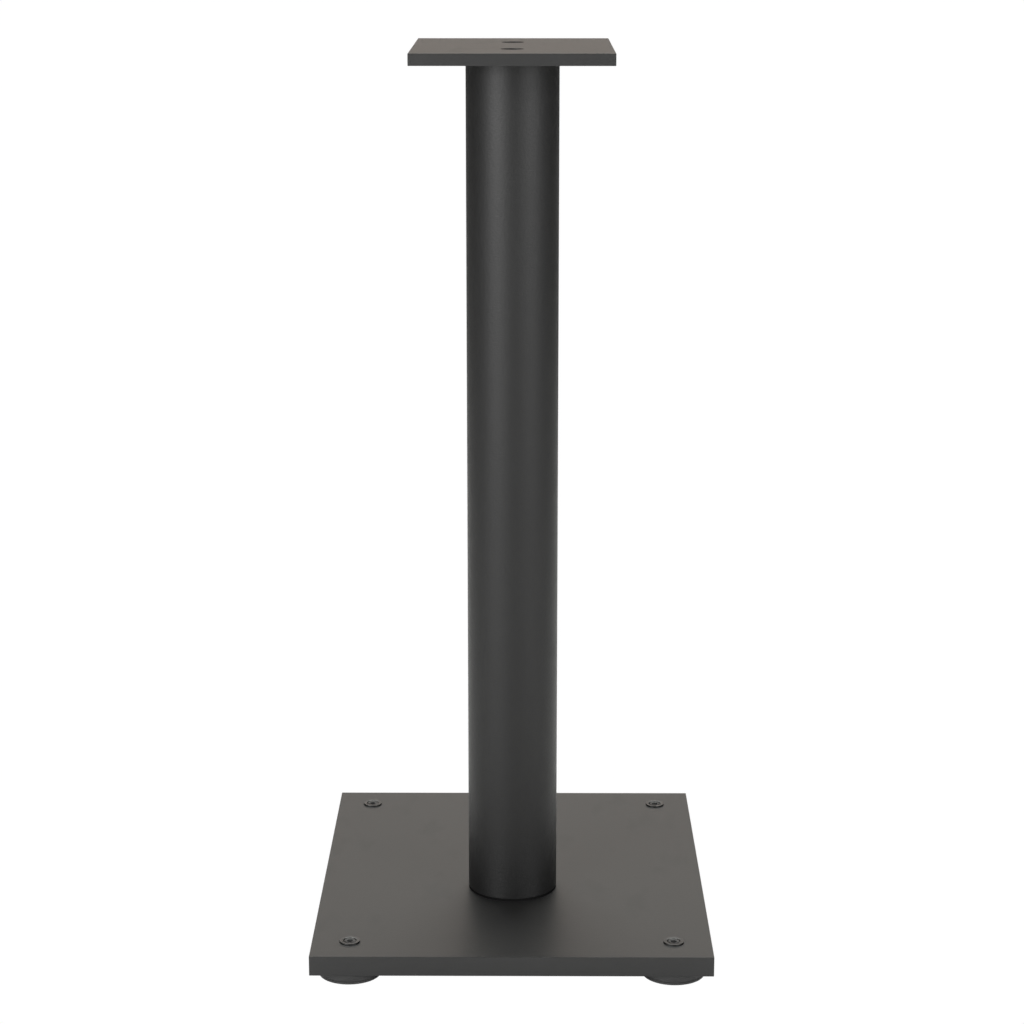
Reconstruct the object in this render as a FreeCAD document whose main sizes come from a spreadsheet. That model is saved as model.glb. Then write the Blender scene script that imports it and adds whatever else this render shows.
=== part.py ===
import FreeCAD, Part
import Sketcher
import math
import os

# Speaker stand: a heavy square-edged base plate, one round column, a small top plate and four
# levelling feet that are turned from above through the base plate's corners.
# Frame: +Z up, millimetres, origin on the floor under the middle of the base plate.
# The front is at -Y. The column stands nearer the front than the middle of the base plate.

V = FreeCAD.Vector
doc = FreeCAD.newDocument("SpeakerStand")

# ---------------------------------------------------------------- driving dimensions
DIMENSIONS = [
    ("total_height", 600.0, "floor to the top plate's upper face"),
    ("floor_gap", 8.2, "floor to the base plate's underside, feet screwed in"),
    ("base_width", 264.6, "base plate, left to right"),
    ("base_depth", 312.8, "base plate, front to back"),
    ("base_thick", 13.4, "base plate"),
    ("edge_round", 0.4, "radius on the plates' edges"),
    ("column_forward", 31.2, "column axis in front of the base plate's middle"),
    ("tube_outer", 61.0, "column tube, outside diameter"),
    ("tube_wall", 2.0, "column tube, wall"),
    ("tube_bevel", 0.35, "column tube, bevel on its end edges"),
    ("gasket_thick", 1.5, "gasket ring between tube and base plate"),
    ("gasket_inset", 0.1, "gasket's outer edge inside the tube's outer wall"),
    ("top_width", 128.8, "top plate, left to right"),
    ("top_depth", 161.0, "top plate, front to back"),
    ("top_thick", 7.65, "top plate"),
    ("speaker_spacing", 72.0, "speaker holes, centre to centre along Y"),
    ("speaker_hole", 7.0, "speaker holes, diameter, clearance for M6"),
    ("speaker_recess", 15.0, "recess round each speaker hole, diameter"),
    ("speaker_recess_deep", 3.0, "recess round each speaker hole, depth"),
    ("corner_inset", 25.2, "foot axis from the base plate's edges"),
    ("thread_major", 8.0, "M8 studs and tie rod, plain cylinder"),
    ("thread_play", 0.05, "radial play between a stud and its bush"),
    ("bush_body", 11.0, "threaded bush, body diameter"),
    ("bush_flange", 13.6, "threaded bush, flange diameter"),
    ("bush_flange_thick", 1.1, "threaded bush, flange thickness"),
    ("bush_mouth", 8.8, "threaded bush, mouth diameter"),
    ("stud_sunk", 0.3, "stud's end below the flange's top"),
    ("stud_bevel", 0.6, "bevel on the stud's end"),
    ("stud_socket", 4.0, "hexagon socket in the stud, across flats"),
    ("stud_socket_deep", 4.5, "hexagon socket in the stud, depth"),
    ("collar_outer", 14.0, "stud's collar, diameter"),
    ("collar_thick", 2.5, "stud's collar, thickness"),
    ("collar_height", 3.45, "collar's underside above the floor"),
    ("foot_outer", 41.8, "foot disc, diameter"),
    ("foot_top", 8.1, "foot disc's top above the floor"),
    ("foot_edge", 0.5, "bevel on the foot disc's edges"),
    ("foot_pocket", 14.1, "pocket for the stud's collar, diameter"),
    ("foot_pocket_floor", 3.4, "pocket's floor above the floor"),
    ("ring_groove", 14.9, "groove for the retaining ring, diameter"),
    ("ring_groove_low", 6.0, "groove's lower face above the floor"),
    ("ring_groove_high", 7.1, "groove's upper face above the floor"),
    ("sole_outer", 41.4, "rubber sole, diameter"),
    ("sole_thick", 1.6, "rubber sole, thickness"),
    ("sole_bevel", 0.2, "rubber sole, bevel on its lower edge"),
    ("ring_outer", 14.8, "retaining ring, outside diameter"),
    ("ring_inner", 12.0, "retaining ring, inside diameter"),
    ("ring_thick", 1.0, "retaining ring, thickness"),
    ("ring_gap", 3.6, "retaining ring, opening between its ends"),
    ("ring_lug", 2.6, "retaining ring, lug diameter"),
    ("ring_lug_out", 5.9, "retaining ring, lug centre from the axis"),
    ("ring_eye", 1.2, "retaining ring, eye diameter"),
    ("spigot_outer", 56.6, "spigot discs, diameter, inside the tube"),
    ("spigot_bevel", 1.0, "spigot discs, lead-in bevel"),
    ("base_spigot_thick", 10.0, "base spigot, thickness"),
    ("top_spigot_thick", 12.0, "top spigot, thickness"),
    ("base_screw_circle", 38.0, "base spigot screws, pitch circle diameter"),
    ("top_screw_circle", 40.0, "top spigot screws, pitch circle diameter"),
    ("screw_major", 5.0, "M5 countersunk screws, plain cylinder"),
    ("screw_head", 10.0, "M5 countersunk head, diameter"),
    ("screw_rim", 0.3, "M5 countersunk head, height of its rim"),
    ("screw_sunk", 0.1, "screw head below the surface"),
    ("screw_socket", 3.0, "hexagon socket in the screws, across flats"),
    ("screw_socket_deep", 2.0, "hexagon socket in the screws, depth"),
    ("base_screw_long", 20.0, "base spigot screws, length with head"),
    ("top_screw_long", 16.0, "top spigot screws, length with head"),
    ("screw_pass", 5.5, "clearance hole for a screw"),
    ("screw_tapped", 5.1, "threaded hole for a screw, plain cylinder"),
    ("countersink", 10.9, "countersink at the surface, diameter"),
    ("top_blind", 5.2, "depth of the blind threaded holes in the top plate"),
    ("rod_pass", 9.0, "clearance hole for the tie rod"),
    ("nut_recess", 20.0, "counterbore for the nut under the base plate, diameter"),
    ("nut_recess_deep", 8.6, "counterbore for the nut, depth"),
    ("washer_outer", 16.0, "washer, diameter"),
    ("washer_hole", 8.4, "washer, hole"),
    ("washer_thick", 1.6, "washer, thickness"),
    ("nut_flats", 13.0, "nut, across flats"),
    ("nut_thick", 6.5, "nut, thickness"),
    ("rod_below_nut", 0.3, "tie rod's end beyond the nut"),
    ("rod_short", 1.0, "tie rod's upper end below the top spigot's upper face"),
    ("rod_bevel", 0.9, "bevel on the tie rod's ends"),
]

sheet = doc.addObject("Spreadsheet::Sheet", "Dimensions")
VALUE = {}
for line, (alias, number, meaning) in enumerate(DIMENSIONS, start=2):
    sheet.set("A%d" % line, meaning)
    sheet.set("B%d" % line, repr(number))
    sheet.setAlias("B%d" % line, alias)
    VALUE[alias] = number
doc.recompute()


class Size:
    """A number together with the expression that the document computes it from."""

    def __init__(self, number, text):
        self.number = float(number)
        self.text = text

    @staticmethod
    def of(other):
        return other if isinstance(other, Size) else Size(other, repr(float(other)))

    def __add__(self, other):
        other = Size.of(other)
        return Size(self.number + other.number, "(%s + %s)" % (self.text, other.text))

    def __radd__(self, other):
        return Size.of(other) + self

    def __sub__(self, other):
        other = Size.of(other)
        return Size(self.number - other.number, "(%s - %s)" % (self.text, other.text))

    def __rsub__(self, other):
        return Size.of(other) - self

    def __mul__(self, other):
        other = Size.of(other)
        return Size(self.number * other.number, "(%s * %s)" % (self.text, other.text))

    def __rmul__(self, other):
        return Size.of(other) * self

    def __truediv__(self, other):
        other = Size.of(other)
        return Size(self.number / other.number, "(%s / %s)" % (self.text, other.text))

    def __neg__(self):
        return Size(-self.number, "(0 - %s)" % self.text)


def dim(alias):
    return Size(VALUE[alias], "Dimensions." + alias)


# ---------------------------------------------------------------- sketch helpers
def plane(body, role):
    for feature in body.Origin.OriginFeatures:
        if feature.Role == role:
            return feature
    raise RuntimeError("no " + role)


def new_body(label):
    body = doc.addObject("PartDesign::Body", label)
    body.Label = label
    return body


def new_sketch(body, name, role="XY_Plane", lift=None):
    sketch = body.newObject("Sketcher::SketchObject", name)
    sketch.AttachmentSupport = [(plane(body, role), "")]
    sketch.MapMode = "FlatFace"
    if lift is not None:
        sketch.AttachmentOffset = FreeCAD.Placement(V(0, 0, lift.number), FreeCAD.Rotation())
        sketch.setExpression("AttachmentOffset.Base.z", lift.text)
    return sketch


def constrain(sketch, kind, refs, size=None):
    """Adds a constraint; a measured one is bound to the sheet."""
    if size is None:
        sketch.addConstraint(Sketcher.Constraint(kind, *refs))
        return
    index = sketch.addConstraint(Sketcher.Constraint(kind, *(list(refs) + [size.number])))
    if "Dimensions." in size.text:
        sketch.setExpression("Constraints[%d]" % index, size.text)


def pin_point(sketch, geometry, corner, x, y):
    """Fixes a point of the sketch at x, y from its origin."""
    for value, kind, axis in ((x, "DistanceX", -2), (y, "DistanceY", -1)):
        value = Size.of(value)
        if abs(value.number) < 1e-9:
            constrain(sketch, "PointOnObject", (geometry, corner, axis))
        elif value.number > 0:
            constrain(sketch, kind, (-1, 1, geometry, corner), value)
        else:
            constrain(sketch, kind, (geometry, corner, -1, 1), -value)


def circle(sketch, x, y, diameter):
    x, y, diameter = Size.of(x), Size.of(y), Size.of(diameter)
    index = sketch.addGeometry(
        Part.Circle(V(x.number, y.number, 0), V(0, 0, 1), diameter.number / 2.0), False)
    if abs(x.number) < 1e-9 and abs(y.number) < 1e-9:
        constrain(sketch, "Coincident", (index, 3, -1, 1))
    else:
        pin_point(sketch, index, 3, x, y)
    constrain(sketch, "Diameter", (index,), diameter)
    return index


def polygon(sketch, points):
    """A closed outline through the given points, each fixed from the origin."""
    points = [(Size.of(x), Size.of(y)) for x, y in points]
    count = len(points)
    first = None
    for k in range(count):
        a, b = points[k], points[(k + 1) % count]
        index = sketch.addGeometry(
            Part.LineSegment(V(a[0].number, a[1].number, 0), V(b[0].number, b[1].number, 0)), False)
        if first is None:
            first = index
    for k in range(count):
        constrain(sketch, "Coincident", (first + k, 2, first + (k + 1) % count, 1))
    for k in range(count):
        pin_point(sketch, first + k, 1, points[k][0], points[k][1])


def rectangle(sketch, width, depth):
    polygon(sketch, [(-width / 2, -depth / 2), (width / 2, -depth / 2),
                     (width / 2, depth / 2), (-width / 2, depth / 2)])


def hexagon(sketch, flats):
    """A regular hexagon on the origin, two of its corners on the X axis."""
    corner = flats / math.sqrt(3.0)
    points = []
    for k in range(6):
        c, s = math.cos(math.radians(60 * k)), math.sin(math.radians(60 * k))
        points.append((corner * round(c, 9), corner * round(s, 9)))
    polygon(sketch, points)


# ---------------------------------------------------------------- feature helpers
def pad(body, name, sketch, length):
    feature = body.newObject("PartDesign::Pad", name)
    feature.Profile = sketch
    feature.Length = length.number
    feature.setExpression("Length", length.text)
    doc.recompute()
    return feature


def pocket(body, name, sketch, depth=None, upward=True):
    """Cuts the sketch's outline out of the body; upward cuts towards +Z. No depth cuts through."""
    before = body.Shape.Volume
    feature = body.newObject("PartDesign::Pocket", name)
    feature.Profile = sketch
    feature.Reversed = upward
    if depth is None:
        feature.Type = "ThroughAll"
    else:
        feature.Length = depth.number
        feature.setExpression("Length", depth.text)
    doc.recompute()
    if not body.Shape.Volume < before - 0.05:
        raise RuntimeError("%s in %s cuts nothing" % (name, body.Label))
    return feature


def revolve(body, name, sketch):
    feature = body.newObject("PartDesign::Revolution", name)
    feature.Profile = sketch
    feature.ReferenceAxis = (sketch, ["V_Axis"])
    feature.Angle = 360.0
    doc.recompute()
    return feature


def countersinks(body, name, sketch, upward=True):
    """Countersunk clearance holes for the M5 screws, through the body."""
    before = body.Shape.Volume
    doc.recompute()
    feature = body.newObject("PartDesign::Hole", name)
    feature.Profile = sketch
    feature.ThreadType = "None"
    feature.Diameter = VALUE["screw_pass"]
    feature.setExpression("Diameter", "Dimensions.screw_pass")
    feature.DepthType = "ThroughAll"
    feature.HoleCutType = "Countersink"
    feature.HoleCutCustomValues = True
    feature.HoleCutDiameter = VALUE["countersink"]
    feature.setExpression("HoleCutDiameter", "Dimensions.countersink")
    feature.HoleCutCountersinkAngle = 90.0
    feature.Reversed = upward
    doc.recompute()
    if not body.Shape.Volume < before - 1.0:
        raise RuntimeError("%s in %s cuts nothing" % (name, body.Label))
    return feature


def circular_edges(shape, wanted):
    """Names of the circular edges for which wanted(radius, z) is true."""
    names = []
    for k, edge in enumerate(shape.Edges, start=1):
        if isinstance(edge.Curve, Part.Circle) and edge.isClosed():
            if wanted(edge.Curve.Radius, edge.Curve.Center.z):
                names.append("Edge%d" % k)
    return names


def dress(body, kind, name, base, edges, size):
    """A Fillet or a Chamfer of one size on the named edges of the body's last feature."""
    if not edges:
        raise RuntimeError("%s in %s finds no edge" % (name, body.Label))
    before = body.Shape.Volume
    feature = body.newObject("PartDesign::" + kind, name)
    feature.Base = (base, edges)
    if kind == "Fillet":
        feature.Radius = size.number
        feature.setExpression("Radius", size.text)
    else:
        feature.Size = size.number
        feature.setExpression("Size", size.text)
    doc.recompute()
    if abs(body.Shape.Volume - before) < 1e-4:
        raise RuntimeError("%s in %s changes nothing" % (name, body.Label))
    return feature


def place(thing, x=0.0, y=0.0, z=0.0, turn=0.0, axis=(0, 0, 1)):
    x, y, z = Size.of(x), Size.of(y), Size.of(z)
    thing.Placement = FreeCAD.Placement(V(x.number, y.number, z.number),
                                        FreeCAD.Rotation(V(*axis), turn))
    for letter, value in (("x", x), ("y", y), ("z", z)):
        if "Dimensions." in value.text:
            thing.setExpression("Placement.Base." + letter, value.text)
    return thing


def polar(diameter, degrees):
    """Points on a circle, as sizes, the first two letters of each being X and Y."""
    radius = diameter / 2
    return [(radius * round(math.cos(math.radians(a)), 9),
             radius * round(math.sin(math.radians(a)), 9)) for a in degrees]


# ---------------------------------------------------------------- heights that several pieces share
base_top = dim("floor_gap") + dim("base_thick")
tube_foot = base_top + dim("gasket_thick")
top_under = dim("total_height") - dim("top_thick")
tube_long = top_under - tube_foot
column_y = -dim("column_forward")
foot_x = dim("base_width") / 2 - dim("corner_inset")
foot_y = dim("base_depth") / 2 - dim("corner_inset")
base_screw_angles = (90, 210, 330)
top_screw_angles = (45, 135, 225, 315)

sub_parts = []

# ---------------------------------------------------------------- base plate
# One flat plate. From below: the counterbore for the tie rod's nut and three countersunk holes for
# the base spigot's screws. In the corners: the holes that hold the threaded bushes.
base_plate = new_body("base_plate")
outline = new_sketch(base_plate, "BaseOutline")
rectangle(outline, dim("base_width"), dim("base_depth"))
slab = pad(base_plate, "BaseSlab", outline, dim("base_thick"))
dress(base_plate, "Fillet", "BaseEdges", slab, ["Edge%d" % (k + 1) for k in range(12)],
      dim("edge_round"))
corner_holes = new_sketch(base_plate, "BaseCornerHoles")
for sx in (-1.0, 1.0):
    for sy in (-1.0, 1.0):
        circle(corner_holes, foot_x * sx, foot_y * sy, dim("bush_body") + 2 * dim("thread_play"))
pocket(base_plate, "BaseCornerBores", corner_holes)
rod_hole = new_sketch(base_plate, "BaseRodHole")
circle(rod_hole, 0, column_y, dim("rod_pass"))
pocket(base_plate, "BaseRodBore", rod_hole)
nut_hole = new_sketch(base_plate, "BaseNutHole")
circle(nut_hole, 0, column_y, dim("nut_recess"))
pocket(base_plate, "BaseNutRecess", nut_hole, dim("nut_recess_deep"))
screw_holes = new_sketch(base_plate, "BaseScrewHoles")
for px, py in polar(dim("base_screw_circle"), base_screw_angles):
    circle(screw_holes, px, column_y + py, dim("screw_pass"))
countersinks(base_plate, "BaseCountersinks", screw_holes)
place(base_plate, z=dim("floor_gap"))
sub_parts.append(base_plate)

# ---------------------------------------------------------------- column tube
column_tube = new_body("column_tube")
ring = new_sketch(column_tube, "TubeSection")
circle(ring, 0, 0, dim("tube_outer"))
circle(ring, 0, 0, dim("tube_outer") - 2 * dim("tube_wall"))
tube = pad(column_tube, "TubeWall", ring, tube_long)
dress(column_tube, "Chamfer", "TubeEnds", tube, circular_edges(tube.Shape, lambda r, z: True),
      dim("tube_bevel"))
place(column_tube, y=column_y, z=tube_foot)
sub_parts.append(column_tube)

# ---------------------------------------------------------------- gasket ring under the tube
column_gasket = new_body("column_gasket")
ring = new_sketch(column_gasket, "GasketSection")
circle(ring, 0, 0, dim("tube_outer") - 2 * dim("gasket_inset"))
circle(ring, 0, 0, dim("tube_outer") - 2 * dim("tube_wall"))
pad(column_gasket, "GasketRing", ring, dim("gasket_thick"))
place(column_gasket, y=column_y, z=base_top)
sub_parts.append(column_gasket)

# ---------------------------------------------------------------- top plate
# Two recessed holes in line front to back take the speaker's fixing screws from below, beside the
# tube. Four blind threaded holes in its underside take the top spigot's screws.
top_plate = new_body("top_plate")
outline = new_sketch(top_plate, "TopOutline")
rectangle(outline, dim("top_width"), dim("top_depth"))
slab = pad(top_plate, "TopSlab", outline, dim("top_thick"))
dress(top_plate, "Fillet", "TopEdges", slab, ["Edge%d" % (k + 1) for k in range(12)],
      dim("edge_round"))
holes = new_sketch(top_plate, "SpeakerHoles")
for sy in (-1.0, 1.0):
    circle(holes, 0, dim("speaker_spacing") / 2 * sy, dim("speaker_hole"))
pocket(top_plate, "SpeakerBores", holes)
recesses = new_sketch(top_plate, "SpeakerRecessOutlines",
                      lift=dim("top_thick") - dim("speaker_recess_deep"))
for sy in (-1.0, 1.0):
    circle(recesses, 0, dim("speaker_spacing") / 2 * sy, dim("speaker_recess"))
pocket(top_plate, "SpeakerRecesses", recesses, dim("speaker_recess_deep") + 1.0)
blind = new_sketch(top_plate, "TopBlindHoles")
for px, py in polar(dim("top_screw_circle"), top_screw_angles):
    circle(blind, px, py, dim("screw_tapped"))
pocket(top_plate, "TopBlindBores", blind, dim("top_blind"))
place(top_plate, y=column_y, z=top_under)
sub_parts.append(top_plate)

# ---------------------------------------------------------------- base spigot
# A disc on the base plate that the tube's foot slips over; three threaded holes from below.
base_spigot = new_body("base_spigot")
disc = new_sketch(base_spigot, "BaseSpigotOutline")
circle(disc, 0, 0, dim("spigot_outer"))
blank = pad(base_spigot, "BaseSpigotDisc", disc, dim("base_spigot_thick"))
dress(base_spigot, "Chamfer", "BaseSpigotLead", blank,
      circular_edges(blank.Shape, lambda r, z: z > 1.0), dim("spigot_bevel"))
hole = new_sketch(base_spigot, "BaseSpigotRodHole")
circle(hole, 0, 0, dim("rod_pass"))
pocket(base_spigot, "BaseSpigotRodBore", hole)
taps = new_sketch(base_spigot, "BaseSpigotTaps")
for px, py in polar(dim("base_screw_circle"), base_screw_angles):
    circle(taps, px, py, dim("screw_tapped"))
pocket(base_spigot, "BaseSpigotTapped", taps)
place(base_spigot, y=column_y, z=base_top)
sub_parts.append(base_spigot)

# ---------------------------------------------------------------- top spigot
# A disc under the top plate that enters the tube; its middle is threaded for the tie rod.
top_spigot = new_body("top_spigot")
disc = new_sketch(top_spigot, "TopSpigotOutline")
circle(disc, 0, 0, dim("spigot_outer"))
blank = pad(top_spigot, "TopSpigotDisc", disc, dim("top_spigot_thick"))
dress(top_spigot, "Chamfer", "TopSpigotLead", blank,
      circular_edges(blank.Shape, lambda r, z: z < 1.0), dim("spigot_bevel"))
hole = new_sketch(top_spigot, "TopSpigotRodHole")
circle(hole, 0, 0, dim("thread_major") + 2 * dim("thread_play"))
pocket(top_spigot, "TopSpigotRodThread", hole)
screw_holes = new_sketch(top_spigot, "TopSpigotScrewHoles")
for px, py in polar(dim("top_screw_circle"), top_screw_angles):
    circle(screw_holes, px, py, dim("screw_pass"))
countersinks(top_spigot, "TopSpigotCountersinks", screw_holes)
place(top_spigot, y=column_y, z=top_under - dim("top_spigot_thick"))
sub_parts.append(top_spigot)


# ---------------------------------------------------------------- countersunk screws
def countersunk_screw(label, length):
    """Head down at z = 0, shank upwards, hexagon socket in the head."""
    body = new_body(label)
    profile = new_sketch(body, label + "_profile", role="XZ_Plane")
    rim = dim("screw_rim")
    neck = rim + (dim("screw_head") - dim("screw_major")) / 2
    bevel = dim("screw_major") * 0.1
    polygon(profile, [(0, 0), (dim("screw_head") / 2, 0), (dim("screw_head") / 2, rim),
                      (dim("screw_major") / 2, neck),
                      (dim("screw_major") / 2, length - bevel),
                      (dim("screw_major") / 2 - bevel, length), (0, length)])
    revolve(body, label + "_turned", profile)
    socket = new_sketch(body, label + "_socket")
    hexagon(socket, dim("screw_socket"))
    pocket(body, label + "_hexagon", socket, dim("screw_socket_deep"))
    return body


base_screws = []
for k, (px, py) in enumerate(polar(dim("base_screw_circle"), base_screw_angles)):
    screw = countersunk_screw("base_screw_%d" % (k + 1), dim("base_screw_long"))
    base_screws.append(place(screw, x=px, y=column_y + py,
                             z=dim("floor_gap") + dim("screw_sunk"), turn=17.0 + 41.0 * k))
base_spigot_screws = doc.addObject("Part::Compound", "base_spigot_screws")
base_spigot_screws.Label = "base_spigot_screws"
base_spigot_screws.Links = base_screws
sub_parts.append(base_spigot_screws)

top_screws = []
for k, (px, py) in enumerate(polar(dim("top_screw_circle"), top_screw_angles)):
    screw = countersunk_screw("top_screw_%d" % (k + 1), dim("top_screw_long"))
    top_screws.append(place(screw, x=px, y=column_y + py,
                            z=top_under - dim("top_spigot_thick") + dim("screw_sunk"),
                            turn=9.0 + 23.0 * k))
top_spigot_screws = doc.addObject("Part::Compound", "top_spigot_screws")
top_spigot_screws.Label = "top_spigot_screws"
top_spigot_screws.Links = top_screws
sub_parts.append(top_spigot_screws)

# ---------------------------------------------------------------- tie rod, washer and nut
washer_seat = dim("floor_gap") + dim("nut_recess_deep")
nut_low = washer_seat - dim("washer_thick") - dim("nut_thick")
rod_low = nut_low - dim("rod_below_nut")

tie_rod = new_body("tie_rod")
rod_outline = new_sketch(tie_rod, "RodSection")
circle(rod_outline, 0, 0, dim("thread_major"))
bar = pad(tie_rod, "RodBar", rod_outline, top_under - dim("rod_short") - rod_low)
dress(tie_rod, "Chamfer", "RodEnds", bar, circular_edges(bar.Shape, lambda r, z: True),
      dim("rod_bevel"))
place(tie_rod, y=column_y, z=rod_low)
sub_parts.append(tie_rod)

washer_blank = doc.addObject("Part::Cylinder", "WasherBlank")
washer_blank.setExpression("Radius", "Dimensions.washer_outer / 2")
washer_blank.setExpression("Height", "Dimensions.washer_thick")
washer_bore = doc.addObject("Part::Cylinder", "WasherBore")
washer_bore.setExpression("Radius", "Dimensions.washer_hole / 2")
washer_bore.setExpression("Height", "Dimensions.washer_thick * 3")
washer_bore.setExpression("Placement.Base.z", "0 - Dimensions.washer_thick")
tie_rod_washer = doc.addObject("Part::Cut", "tie_rod_washer")
tie_rod_washer.Label = "tie_rod_washer"
tie_rod_washer.Base = washer_blank
tie_rod_washer.Tool = washer_bore
place(tie_rod_washer, y=column_y, z=washer_seat - dim("washer_thick"))
sub_parts.append(tie_rod_washer)

# The nut: a hexagon whose corners are turned off at 30 degrees, with a bevelled bore.
nut_corner = dim("nut_flats") / math.sqrt(3.0)
nut_drop = (nut_corner - dim("nut_flats") / 2) * 0.577350269
nut_prism = doc.addObject("Part::Prism", "NutPrism")
nut_prism.Polygon = 6
nut_prism.setExpression("Circumradius", nut_corner.text)
nut_prism.setExpression("Height", "Dimensions.nut_thick")
nut_turned = new_body("NutTurned")
profile = new_sketch(nut_turned, "NutProfile", role="XZ_Plane")
bore = dim("thread_major") / 2 + dim("thread_play")
polygon(profile, [(bore + 0.5, 0), (dim("nut_flats") / 2, 0), (nut_corner, nut_drop),
                  (nut_corner, dim("nut_thick") - nut_drop), (dim("nut_flats") / 2, dim("nut_thick")),
                  (bore + 0.5, dim("nut_thick")), (bore, dim("nut_thick") - 0.5), (bore, 0.5)])
revolve(nut_turned, "NutRevolved", profile)
tie_rod_nut = doc.addObject("Part::Common", "tie_rod_nut")
tie_rod_nut.Label = "tie_rod_nut"
tie_rod_nut.Base = nut_prism
tie_rod_nut.Tool = nut_turned
place(tie_rod_nut, y=column_y, z=nut_low)
sub_parts.append(tie_rod_nut)

# ---------------------------------------------------------------- levelling feet, one in each corner
CORNERS = (("front_left", -1.0, -1.0), ("front_right", 1.0, -1.0),
           ("rear_left", -1.0, 1.0), ("rear_right", 1.0, 1.0))

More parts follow.
